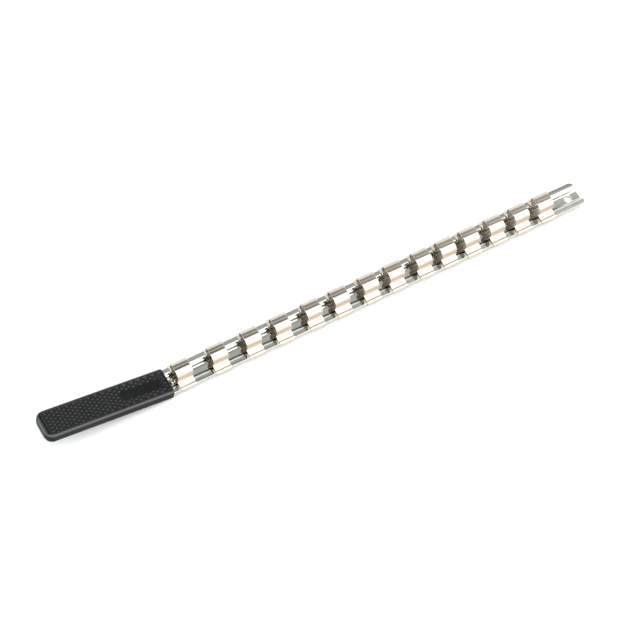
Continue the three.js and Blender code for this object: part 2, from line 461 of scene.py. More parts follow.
def mixed_number(tree: NodeTree, share: Any, first: Any, second: Any) -> NodeSocket:
    """Mixes two numbers by the second one's share."""
    return add_node(tree, "ShaderNodeMix", {0: share, 2: first, 3: second}).outputs[0]


def colour_ramp(tree: NodeTree, value: NodeSocket,
                stops: Sequence[tuple[float, Sequence[float]]]) -> NodeSocket:
    """Turns a number from 0 to 1 into a colour.

    Args:
        tree: The node tree.
        value: The number.
        stops: Each stop's place from 0 to 1 and its linear colour, in order.

    Returns:
        The colour.
    """
    node = add_node(tree, "ShaderNodeValToRGB", {"Fac": value})
    elements = node.color_ramp.elements
    while len(elements) < len(stops):
        elements.new(1.0)
    for element, (position, colour) in zip(elements, stops):
        element.position = position
        element.color = (*colour, 1.0)
    return node.outputs["Color"]


def new_material(name: str) -> tuple[Material, NodeTree, Node]:
    """Makes an empty material.

    Args:
        name: The finish's common name.

    Returns:
        The material, its tree and its output node.
    """
    material = bpy.data.materials.new(name)
    material.use_nodes = True
    material.node_tree.nodes.clear()
    return material, material.node_tree, add_node(material.node_tree, "ShaderNodeOutputMaterial")


def grain(tree: NodeTree, size: tuple[float, float, float], detail: float = 2.0) -> NodeSocket:
    """Noise on Object coordinates whose patches have a real size.

    Args:
        tree: The material's tree.
        size: Size of one patch along each axis, in millimetres.
        detail: How many finer layers the noise has.

    Returns:
        The noise's factor.
    """
    place = add_node(tree, "ShaderNodeTexCoord").outputs["Object"]
    scale = tuple(1 / (length * MM) for length in size)
    scaled = add_node(tree, "ShaderNodeMapping", {"Vector": place, "Scale": scale})
    noise = add_node(tree, "ShaderNodeTexNoise", {
        "Vector": scaled.outputs["Vector"], "Scale": 1.0, "Detail": detail, "Roughness": NOISE_ROUGHNESS})
    return noise.outputs["Fac"]


def bumped(tree: NodeTree, height: NodeSocket, depth: float) -> NodeSocket:
    """Turns a height from 0 to 1 into a normal, for relief of a depth in millimetres."""
    links = {"Height": height, "Strength": 1.0, "Distance": depth * MM}
    return add_node(tree, "ShaderNodeBump", links).outputs["Normal"]


def surface_shader(tree: NodeTree, output: Node, inputs: dict[str | int, Any]) -> None:
    """Gives a material its one shader, with the inputs named."""
    shader = add_node(tree, "ShaderNodeBsdfPrincipled", inputs)
    tree.links.new(shader.outputs["BSDF"], output.inputs["Surface"])


@dataclass(frozen=True)
class PaintedShadeLine:
    """A line of painted shade along the rail's upper faces, standing in for the shade in the channel's inner
    bends.

    Attributes:
        across: Its place across the rail, in millimetres.
        half: Half of its width, in millimetres. It fades over as much again.
        colour: Its colour.
    """

    across: float
    half: float
    colour: str


@dataclass(frozen=True)
class ArchPaintedLight:
    """How the faces of an arch are painted apart from the rest of its strip, in millimetres of the shared
    frame:
    painted reflection bands on its cheeks, and painted light and shade on its rougher inner faces.

    Attributes:
        middle: Height of the arch's middle.
        foot: Height of the arch's foot. No face below it counts as an inner one.
        inside: Colour painted on the faces that look towards the middle: painted light and shade inside the
            arch.
        inside_rough: Their roughness.
        cheek_reflection: Colour of the painted reflection bands on the cheeks.
        reflection_low: Height at which a band starts.
        reflection_high: Height at which it ends.
        reflection_across: How far across from the middle a band lies at least.
        fade_low: Half of the height over which its lower edge fades.
        fade_high: Half of the height over which its upper edge fades.
    """

    middle: float
    foot: float
    inside: str
    inside_rough: float
    cheek_reflection: str
    reflection_low: float
    reflection_high: float
    reflection_across: float
    fade_low: float = 0.3
    fade_high: float = 0.5

    def reflection_band(self, tree: NodeTree) -> NodeSocket:
        """Marks the bands of painted reflection on the cheeks.

        Args:
            tree: The material's tree.

        Returns:
            One on a band and nothing elsewhere.
        """
        _, across, up = by_axis(tree, add_node(tree, "ShaderNodeTexCoord").outputs["Object"])
        beyond = number(tree, "GREATER_THAN", number(tree, "ABSOLUTE", across), self.reflection_across * MM)
        low = ((self.reflection_low - self.fade_low) * MM, (self.reflection_low + self.fade_low) * MM)
        high = ((self.reflection_high - self.fade_high) * MM, (self.reflection_high + self.fade_high) * MM)
        start = mapped(tree, up, low)
        end = mapped(tree, up, high, (1.0, 0.0))
        return number(tree, "MULTIPLY", number(tree, "MULTIPLY", start, end), beyond)

    def inner_faces(self, tree: NodeTree) -> NodeSocket:
        """Marks the inner faces.

        A face is an inner one where its normal points against the line from the arch's middle to it, and it
        lies above the arch's foot.

        Args:
            tree: The material's tree.

        Returns:
            One on the inner faces and nothing elsewhere.
        """
        point = add_node(tree, "ShaderNodeTexCoord")
        place = point.outputs["Object"]
        out = vector(tree, "SUBTRACT", place, (0.0, 0.0, self.middle * MM))
        out = vector(tree, "MULTIPLY", out, (0.0, 1.0, 1.0))
        inward = number(tree, "LESS_THAN", along(tree, out, point.outputs["Normal"]), 0.0)
        above = number(tree, "GREATER_THAN", by_axis(tree, place)["Z"], self.foot * MM)
        return number(tree, "MULTIPLY", inward, above)


@dataclass(frozen=True)
class PlatedSteel:
    """Steel strip with a bright plating: mirror-like, with faint lines along the way it was rolled.

    Lengths are in millimetres.

    Attributes:
        light: Colour of the plating where it is clean.
        dull: Colour where it is a little dulled, in patches of cloud_size.
        smooth: Least roughness.
        rough: Greatest roughness.
        line_size: Size of the rolling lines along each axis.
        arch: Painted light, shade and reflection of an arch, and its inner faces' roughness, or nothing where
            the piece has none.
        shade_lines: Lines of painted shade along the rail's channel.
        shade_end: How far along the rail the painted shade reaches.
        shade_fade: Length over which it fades there.
    """

    name: str
    light: str
    dull: str
    smooth: float
    rough: float
    line_size: tuple[float, float, float]
    line_height: float
    cloud_size: float
    arch: ArchPaintedLight | None = None
    shade_lines: tuple[PaintedShadeLine, ...] = ()
    shade_end: float = 0.0
    shade_fade: float = 10.0

    def build(self) -> Material:
        """Makes the material.

        Returns:
            The material.
        """
        material, tree, output = new_material(self.name)
        cloud = grain(tree, (self.cloud_size,) * 3, detail=CLOUD_DETAIL)
        lines = grain(tree, self.line_size)
        colour = mixed_colour(
            tree, mapped(tree, cloud, NOISE_MIDDLE), linear(self.light), linear(self.dull))
        rough = mapped(
            tree, number(tree, "MULTIPLY", cloud, lines), NOISE_PRODUCT, (self.smooth, self.rough))
        height = lines
        # Painted shade along the channel's inner bends, laid on the rail's upper faces.
        for line in self.shade_lines:
            colour = mixed_colour(tree, self.painted_shade(tree, line), colour, linear(line.colour))
        if self.arch:
            # Painted reflection bands on the cheeks.
            colour = mixed_colour(tree, self.arch.reflection_band(tree), colour, linear(self.arch.cheek_reflection))
            # Painted light and shade on the faces inside the arch, which are also rougher.
            inner = self.arch.inner_faces(tree)
            colour = mixed_colour(tree, inner, colour, linear(self.arch.inside))
            rough = mixed_number(tree, inner, rough, self.arch.inside_rough)
            height = mixed_number(tree, inner, lines, sum(NOISE_MIDDLE) / 2)
        surface_shader(tree, output, {
            "Base Color": colour, "Metallic": 1.0, "Roughness": rough,
            "Normal": bumped(tree, height, self.line_height)})
        return material

    def painted_shade(self, tree: NodeTree, line: PaintedShadeLine) -> NodeSocket:
        """Marks a line of painted shade on the rail's upper faces.

        Args:
            tree: The material's tree.
            line: The line.

        Returns:
            One on the line and nothing elsewhere.
        """
        point = add_node(tree, "ShaderNodeTexCoord")
        axes = by_axis(tree, point.outputs["Object"])
        away = number(tree, "ABSOLUTE", number(tree, "SUBTRACT", axes["Y"], line.across * MM))
        near = mapped(tree, away, (line.half * MM, 2 * line.half * MM), (1.0, 0.0), "SMOOTHSTEP")
        fade = ((self.shade_end - self.shade_fade) * MM, self.shade_end * MM)
        before = mapped(tree, axes["X"], fade, (1.0, 0.0))
        upper = number(tree, "GREATER_THAN", by_axis(tree, point.outputs["Normal"])["Z"], LEAST_UPWARD)
        return number(tree, "MULTIPLY", number(tree, "MULTIPLY", near, before), upper)


@dataclass(frozen=True)
class MouldedPolypropylene:
    """Black moulded polypropylene: satin, with the fine grain of its mould, a painted sheen on its rounded
    edges and a painted highlight on the knurl's tips.

    Lengths are in millimetres.

    Attributes:
        worn: The slightly paler colour of patches of cloud_size.
        grain_size: Size of the mould's grain, drawn coarser than the real 0.1 mm so that it shows.
        painted_tip_highlight: Colour painted on the knurl's tips: a painted highlight.
        highlight_depths: Depths below the tips at which the painted highlight starts and is full.
        sheen_by_facing: How strongly faces shine, by the share of their normal that points out of the top: a
        painted sheen, strongest round the rounded edges.
        up: The way out of the handle's top.
        top: Height of the knurl's tips along that way.
    """

    name: str = "moulded_polypropylene_black"
    colour: str = "#0c0d0d"
    worn: str = "#141515"
    smooth: float = 0.24
    rough: float = 0.34
    grain_size: float = 0.5
    grain_height: float = 0.006
    cloud_size: float = 9.0
    # A painted highlight on the knurl's tips.
    painted_tip_highlight: str = "#6e706c"
    highlight_depths: tuple[float, float] = (0.08, 0.02)
    # A painted sheen: faces shine more where they turn round the rounded edges.
    sheen_by_facing: tuple[tuple[float, float], ...] = (
        (0.0, 0.1), (0.3, 0.2), (0.6, 0.75), (0.92, 0.95), (0.95, 0.16), (1.0, 0.14))
    ior: float = 1.49
    up: tuple[float, float, float] = (0.0, 0.0, 1.0)
    top: float = 0.0

    def build(self) -> Material:
        """Makes the material.

        Returns:
            The material.
        """
        material, tree, output = new_material(self.name)
        fine = grain(tree, (self.grain_size,) * 3, detail=GRAIN_DETAIL)
        cloud = grain(tree, (self.cloud_size,) * 3, detail=CLOUD_DETAIL)
        base = mixed_colour(tree, mapped(tree, cloud, NOISE_MIDDLE), linear(self.colour), linear(self.worn))
        point = add_node(tree, "ShaderNodeTexCoord")
        height = along(tree, point.outputs["Object"], self.up)
        # Painted highlight: the tips' paler colour, by their height.
        tip_highlight = mapped(tree, height, tuple((self.top - depth) * MM for depth in self.highlight_depths))
        facing = along(tree, point.outputs["Normal"], self.up)
        # Painted sheen, by how far a face points out of the top.
        sheen_by_facing = colour_ramp(tree, facing, [(share, (level,) * 3) for share, level in self.sheen_by_facing])
        surface_shader(tree, output, {
            "Base Color": mixed_colour(tree, tip_highlight, base, linear(self.painted_tip_highlight)),
            "Roughness": mapped(tree, fine, NOISE_MIDDLE, (self.smooth, self.rough)),
            "IOR": self.ior, "Specular IOR Level": sheen_by_facing, "Normal": bumped(tree, fine, self.grain_height)})
        return material


# Rail


@dataclass(frozen=True)
class Hole:
    """A round hole in the web: its place and radius, and the reach and steps of the faces round it."""

    x: float
    radius: float
    reach_x: float
    reach_y: float
    steps: int


@dataclass(frozen=True)
class Patch:
    """The faces round a hole: the plan's lines that they lie between, their border and the hole's circle."""

    centre: np.ndarray
    rows: np.ndarray
    columns: np.ndarray
    border: np.ndarray
    circle: np.ndarray
    steps: int


@dataclass(frozen=True)
class PlanSteps:
    """How many steps each stretch of the rail's plan and of its cut edge is drawn with."""

    tang: int = 19
    crank: int = 8
    rivet: int = 10
    middle: int = 109
    hanging: int = 18
    free_end: int = 7
    web: int = 4
    wall: int = 29
    corner: int = 8
    edge: int = 4


@dataclass
class RolledRail:
    """The zinc plated strip, rolled to two flanges, two sloped walls and a web, with a tang in the handle.

    The sheet lies over a flat plan. Its top and bottom are heights that depend only on the distance across
    the rail, and past the bend the whole plan turns upwards into the handle.
    """

    width: float = 20.9
    sheet: float = 1.2
    depth: float = 3.2
    web_edge: float = 2.4
    web_tilt: float = math.radians(6.0)
    web_edge_bend: float = 12.0
    web_corner: float = 4.04
    web_bend: float = 1.5
    wall_angle: float = math.radians(58.5)
    flange_bend: float = 2.3
    flange_flat: float = 3.05
    flange_tilt: float = math.radians(7.5)
    tilt_bend: float = 6.0
    length: float = 339.7
    corner: float = 3.0
    hole_width: float = 6.2
    hole_from_end: float = 8.7
    hole_reach: tuple[float, float] = (4.5, 4.6)
    hole_steps: int = 7
    tang: float = 66.0
    pitch: float = math.radians(9.2)
    turn_radius: float = 8.0
    droop: float = math.radians(1.2)
    edge: float = 0.22
    rivet_x: float = 2.9
    rivet_hole: float = 2.6
    rivet_reach: tuple[float, float] = (2.2, 2.4)
    rivet_steps: int = 4
    web_lines: float = 2.2
    crank_start: float = -1.0
    arc_step: float = math.radians(1.0)
    run_step: float = 0.5
    steps: PlanSteps = PlanSteps()

    def __post_init__(self) -> None:
        """Works out the height of the sheet's two faces across the rail."""
        middle = -self.sheet / 2
        fall = (self.flange_flat + self.sheet) * math.tan(self.droop)
        half = np.concatenate([self.fold_line(), [[self.width / 2 + self.sheet, middle - fall]]])
        corners, radii = mirrored(half, [*self.fold_radii(), 0.0])
        line = bent_line(corners, radii, self.arc_step, self.run_step)
        self.profile = {
            face: line.points + line.normals * (face.value * self.sheet / 2) for face in SheetFace}

    def fold_line(self) -> np.ndarray:
        """Works out the far half of the sheet's middle line, from the web to the flange.

        The web's edge and the flange's inner part rise gently at their tilts, and the wall between them at
        its own angle. The wall is as long as it takes for the three rises to make up the depth.

        Returns:
            Its corners, from where the web starts to rise to where the flange flattens.
        """
        low = -self.sheet / 2 - self.depth
        flat_start = self.width / 2 - self.flange_flat
        steep, gentle = math.tan(self.wall_angle), math.tan(self.flange_tilt)
        rise = (self.web_corner - self.web_edge) * math.tan(self.web_tilt)
        run = (self.depth - rise - (flat_start - self.web_corner) * gentle) / (steep - gentle)
        return np.array([
            [self.web_edge, low], [self.web_corner, low + rise],
            [self.web_corner + run, low + rise + run * steep], [flat_start, -self.sheet / 2]])

    def fold_radii(self) -> list[float]:
        """Bend radii of the sheet's middle line at those corners."""
        return [self.web_edge_bend, self.web_bend, self.flange_bend, self.tilt_bend]

    def height(self, across: np.ndarray, face: SheetFace) -> np.ndarray:
        """Height of one face of the sheet at distances across the rail."""
        profile = self.profile[face]
        return np.interp(across, profile[:, 0], profile[:, 1])

    def lines_across(self) -> np.ndarray:
        """Works out the distances across the rail at which the plan's lines run.

        They stand further apart as far as web_lines, and near a side as the points of a rounded corner do.

        Returns:
            The distances, from one side to the other.
        """
        flat = self.width / 2 - self.corner
        rounded = flat + (self.corner - self.edge) * np.sin(quarter(self.steps.corner))
        inner = in_runs([0.0, self.web_lines, flat], [self.steps.web, self.steps.wall])
        half = np.concatenate([inner, rounded[1:]])
        return np.concatenate([-half[:0:-1], half])

    def holes(self) -> list[Hole]:
        """The rivet's hole by the bend and the hanging hole near the free end."""
        return [
            Hole(self.rivet_x, self.rivet_hole / 2, *self.rivet_reach, self.rivet_steps),
            Hole(self.length - self.hole_from_end, self.hole_width / 2, *self.hole_reach, self.hole_steps)]

    def plan(self) -> tuple[np.ndarray, np.ndarray]:
        """Places of the plan's crossings, along and across the rail, drawn in by the edge's rounding.

        The last lines along the rail close up on the free end's outline, which is straight in the middle and
        a quarter circle at each flange.

        Returns:
            Two arrays, along and across, of line along the rail by line across it.
        """
        across = self.lines_across()
        rivet, hanging = self.holes()
        start = hanging.x + hanging.reach_x
        steps = self.steps
        along_rail = in_runs(
            [-self.tang + self.edge, self.crank_start, rivet.x - rivet.reach_x, rivet.x + rivet.reach_x,
             hanging.x - hanging.reach_x, start],
            [steps.tang, steps.crank, steps.rivet, steps.middle, steps.hanging])
        radius = self.corner - self.edge
        past = np.clip(np.abs(across) - (self.width / 2 - self.corner), 0, radius)
        outline = self.length - self.corner + np.sqrt(radius ** 2 - past ** 2)
        share = np.linspace(0, 1, steps.free_end + 1)[1:, None]
        x = np.concatenate([
            np.repeat(along_rail[:, None], len(across), axis=1), start + (outline - start) * share])
        return x, np.repeat(across[None, :], len(x), axis=0)

    def bend_up(self, x: np.ndarray, y: np.ndarray, z: np.ndarray) -> np.ndarray:
        """Turns the plan upwards past the bend.

        A point keeps its height over a line that runs straight, turns on a circle of turn_radius through the
        pitch, and runs straight again. Its up is the circle's own radius.

        Args:
            x: Distance along the line, positive towards the free end.
            y: Distance across.
            z: Height over the line.

        Returns:
            Points, one row each.
        """
        reach = self.turn_radius * math.tan(self.pitch / 2)
        angle = np.clip((reach - x) / self.turn_radius, 0, self.pitch)
        past = np.maximum(reach - x - self.turn_radius * self.pitch, 0)
        line_x = (
            np.maximum(x, reach) - self.turn_radius * np.sin(angle) - past * math.cos(self.pitch))
        line_z = self.turn_radius * (1 - np.cos(angle)) + past * math.sin(self.pitch)
        return np.stack([line_x + z * np.sin(angle), y, line_z + z * np.cos(angle)], axis=-1)

    def patch(self, hole: Hole, x: np.ndarray, y: np.ndarray) -> Patch:
        """Lays out the faces round a hole.

        The circle is the hole's, grown by the edge's rounding. Each of its points lies on the straight line
        from the hole's centre to a point of the border.

        Args:
            hole: The hole.
            x: Places along the rail of the plan's crossings.
            y: Their places across.

        Returns:
            The patch.
        """
        rows = np.flatnonzero(np.abs(x[:, 0] - hole.x) < hole.reach_x + SNAP)
        columns = np.flatnonzero(np.abs(y[0]) < hole.reach_y)
        block = np.ix_(rows, columns)
        border = loop_of(x[block], y[block])
        centre = np.array([hole.x, 0.0])
        circle = centre + unit(border - centre) * (hole.radius + self.edge)
        return Patch(centre, rows, columns, border, circle, hole.steps)

    def face_surfaces(self, x: np.ndarray, y: np.ndarray, patches: Sequence[Patch],
                      face: SheetFace) -> list[Surface]:
        """One face of the sheet: the plan's grid with its holes left out, and a patch round each hole.

        Args:
            x: Places along the rail of the plan's crossings.
            y: Their places across.
            patches: The patches round the holes.
            face: Which face it is.

        Returns:
            The face's parts.
        """
        keep = np.ones((x.shape[0] - 1, x.shape[1] - 1), bool)
        surfaces = []
        for patch in patches:
            keep[patch.rows[0]:patch.rows[-1], patch.columns[0]:patch.columns[-1]] = False
            share = np.linspace(0, 1, patch.steps + 1)[:, None, None]
            grid = patch.circle + (patch.border - patch.circle) * share
            points = self.bend_up(grid[..., 0], grid[..., 1], self.height(grid[..., 1], face))
            surfaces.append(Surface(points.reshape(-1, 3), grid_quads(*grid.shape[:2], closed=True)))
        points = self.bend_up(x, y, self.height(y, face))
        return [Surface(points.reshape(-1, 3), grid_quads(*x.shape)[keep.ravel()]), *surfaces]

    def way_out(self, outline: np.ndarray) -> np.ndarray:
        """The way out of the plan at the points of its outline.

        At the free end it leads along the rail, and on a rounded corner straight away from the corner's
        centre. At a side it leads across the rail, and at the tang's end back along it.

        Args:
            outline: Points along and across, once round the plan.

        Returns:
            The ways, of unit length except at the tang's two square corners.
        """
        across = outline[:, 1]
        ahead = np.maximum(outline[:, 0] - (self.length - self.corner), 0)
        beside = np.sign(across) * np.maximum(np.abs(across) - (self.width / 2 - self.corner), 0)
        way = np.column_stack([ahead, np.where(ahead > 0, beside, 0.0)])
        way /= np.maximum(np.linalg.norm(way, axis=1), SNAP)[:, None]
        at_side = np.abs(across) > self.width / 2 - self.edge - SNAP
        way[at_side] = np.column_stack([np.zeros(at_side.sum()), np.sign(across[at_side])])
        way[outline[:, 0] < -self.tang + self.edge + SNAP, 0] = -1.0
        return way

    def rim(self, loop: np.ndarray, outward: np.ndarray) -> Surface:
        """The sheet's rounded cut edge along a closed loop.

        At an angle from nothing to a right angle the edge has come out by its radius times the sine, and
        down from the face by its radius times one less the cosine.

        Args:
            loop: Where the sheet's flat faces end, along and across.
            outward: The way out of the material at each point, of unit length except at a square corner.

        Returns:
            The edge, from the top face round to the bottom face.
        """
        angle = quarter(self.steps.edge)
        out = self.edge * np.sin(angle)
        down = self.edge * (1 - np.cos(angle))
        rows = []
        for face, order in ((SheetFace.TOP, slice(None)), (SheetFace.BOTTOM, slice(None, None, -1))):
            for step, fall in zip(out[order], down[order]):
                place = loop + outward * step
                z = self.height(place[:, 1], face) - face.value * fall
                rows.append(self.bend_up(place[:, 0], place[:, 1], z))
        return Surface(np.concatenate(rows), grid_quads(len(rows), len(loop), closed=True))

    def build(self, place: Place, material: Material) -> Object:
        """Builds the rail as one closed sheet: its two faces, and a rounded edge round it and each hole.

        Args:
            place: The bend's place.
            material: Its finish.

        Returns:
            The rail.
        """
        x, y = self.plan()
        patches = [self.patch(hole, x, y) for hole in self.holes()]
        surfaces = [part for face in SheetFace for part in self.face_surfaces(x, y, patches, face)]
        outline = loop_of(x, y)
        surfaces.append(self.rim(outline, self.way_out(outline)))
        surfaces += [self.rim(patch.circle, unit(patch.centre - patch.circle)) for patch in patches]
        for part in surfaces:
            part.points = place.move(part.points)
        return make_piece("rolled_rail", surfaces, material)


# Clips


@dataclass
class SpringClip:
    """One nickel plated strip bent to an arch over a neck, with feet that hook round the rail's flanges."""

    strip: float = 12.0
    thickness: float = 0.7
    arch_width: float = 13.0
    arch_height: float = 12.9
    belly_radius: float = 26.0
    belly_angle: float = math.radians(3.9)
    shoulder: float = 4.15
    cheek: float = 4.2
    cheek_height: float = 5.5
    neck_width: float = 8.3
    neck_height: float = 1.9
    neck: float = 1.3
    foot_fold_width: float = 17.8
    foot_fold: float = 2.8
    foot_rise: float = 0.3
    hook_top: float = 0.8
    hook_bottom: float = 0.7
    lip: float = 2.0
    foot_gap: float = 0.1
    edge_gap: float = 0.1
    lip_gap: float = 0.2
    edge: float = 0.15
    crown: float = 0.03
    middle_over_cheek: float = 1.0
    # Where the painted reflection bands on the cheeks lie, above the flanges.
    reflection_low: float = 4.2
    reflection_high: float = 9.3
    reflection_across: float = 5.0
    arc_step: float = math.radians(5.0)
    run_step: float = 0.45
    edge_steps: int = 3
    steps: LoopSteps = LoopSteps(corner=3, side=2, top=12, bottom=12)

    def line(self, rail: RolledRail, spread: float) -> BentLine:
        """The strip's middle line from lip to lip.

        Args:
            rail: The rail that it grips.
            spread: How much wider than usual this clip's cheeks stand, in all.

        Returns:
            The bent line, across and up from the flanges' top.
        """
        half = self.thickness / 2
        face = rail.width / 2 + self.edge_gap + half
        foot = self.foot_gap + half
        lip = -rail.sheet - self.lip_gap - half
        cheek = (self.arch_width + spread) / 2 - half
        crest = self.arch_height - half + self.belly_radius * (1 / math.cos(self.belly_angle) - 1)
        corners, radii = mirrored(
            np.array([
                [cheek, crest - cheek * math.tan(self.belly_angle)],
                [cheek, self.cheek_height],
                [self.neck_width / 2, self.neck_height],
                [self.foot_fold_width / 2, foot],
                [face, foot + self.foot_rise],
                [face, lip],
                [face - self.lip, lip],
            ]),
            [self.shoulder, self.cheek, self.neck, self.foot_fold, self.hook_top, self.hook_bottom, 0.0])
        middle = len(radii) // 2
        corners = np.insert(corners, middle, [0.0, crest], axis=0)
        radii.insert(middle, self.belly_radius)
        return bent_line(corners, radii, self.arc_step, self.run_step)

    def build(self, name: str, centre: float, turn: float, spread: float, rail: RolledRail, place: Place,
              material: Material) -> Object:
        """Builds one clip: a rounded strip section carried along the bent line.

        A point is the line's point, plus the strip's height times the line's normal, plus the strip's width
        along the rail. The section draws in over the last edge radius at each lip, and its middle stands
        crown higher than its edges, as a bent strip does.

        Args:
            name: The piece's name.
            centre: Its middle along the rail, in the shared frame.
            turn: How far it is turned about the upright, in radians.
            spread: How much wider than usual its cheeks stand.
            rail: The rail that it grips.
            place: The bend's place.
            material: Its finish.

        Returns:
            The clip.
        """
        line = self.line(rail, spread)
        ends = self.edge * (1 - np.cos(quarter(self.edge_steps)))
        total = line.distance[-1]
        distance = np.unique(np.concatenate([line.distance[1:-1], ends, total - ends]))
        points, normals = (
            np.column_stack([np.interp(distance, line.distance, column) for column in array.T])
            for array in (line.points, line.normals))
        inset = self.edge * rounding(np.minimum(distance, total - distance), self.edge)
        half_height = self.thickness / 2 - inset
        radius = np.full(len(distance), self.edge)
        section = rounded_loops(
            self.strip / 2 - inset, -half_height, half_height, radius, radius, self.steps)
        along_rail, height = section[..., 0], section[..., 1]
        height = height - self.crown * (along_rail / (self.strip / 2)) ** 2
        bent = points[:, None] + normals[:, None] * height[..., None]
        x, y = turned(along_rail, bent[..., 0], turn)
        rings = np.stack([x + centre, y, bent[..., 1] + place.flange_z], axis=-1)
        return make_piece(name, [tube(rings)], material)


# Rivet


@dataclass
class MouthRivet:
    """The round-headed rivet in the web, between the handle and the first clip.

    Its outline starts and ends at the small radius pole round the axis.
    """

    head: float = 4.2
    head_height: float = 1.3
    rim_height: float = 0.3
    dome_share: float = 0.55
    shank: float = 2.4
    tail: float = 3.4
    tail_height: float = 0.7
    gap: float = 0.1
    edge: float = 0.25
    pole: float = 0.01
    dome_steps: int = 9
    edge_steps: int = 3
    around: int = 48

    def build(self, rail: RolledRail, place: Place, material: Material) -> Object:
        """Builds the rivet by turning an outline, whose head is a quarter ellipse with a flat top.

        Args:
            rail: The rail whose web it holds.
            place: The bend's place.
            material: Its finish.

        Returns:
            The rivet.
        """
        seat = -rail.depth + self.gap
        under = -rail.depth - rail.sheet - self.gap
        end = under - self.tail_height
        dome_angle, edge_angle = quarter(self.dome_steps), quarter(self.edge_steps)
        dome = self.dome_share * self.head / 2
        outline = np.concatenate([
            [[self.pole, end]],
            np.column_stack([
                self.tail / 2 - self.edge * (1 - np.sin(edge_angle)),
                end + self.edge * (1 - np.cos(edge_angle))]),
            [[self.tail / 2, under], [self.shank / 2, under], [self.shank / 2, seat], [self.head / 2, seat]],
            np.column_stack([
                self.head / 2 - dome + dome * np.cos(dome_angle),
                seat + self.rim_height + (self.head_height - self.rim_height) * np.sin(dome_angle)]),
            [[self.pole, seat + self.head_height]],
        ])
        angle = np.linspace(0, 2 * math.pi, self.around, endpoint=False)
        rings = np.stack([
            rail.rivet_x + outline[:, :1] * np.cos(angle),
            outline[:, :1] * np.sin(angle),
            np.repeat(outline[:, 1:], self.around, axis=1),
        ], axis=-1)
        return make_piece("web_rivet", [tube(place.move(rings))], material)


# Handle


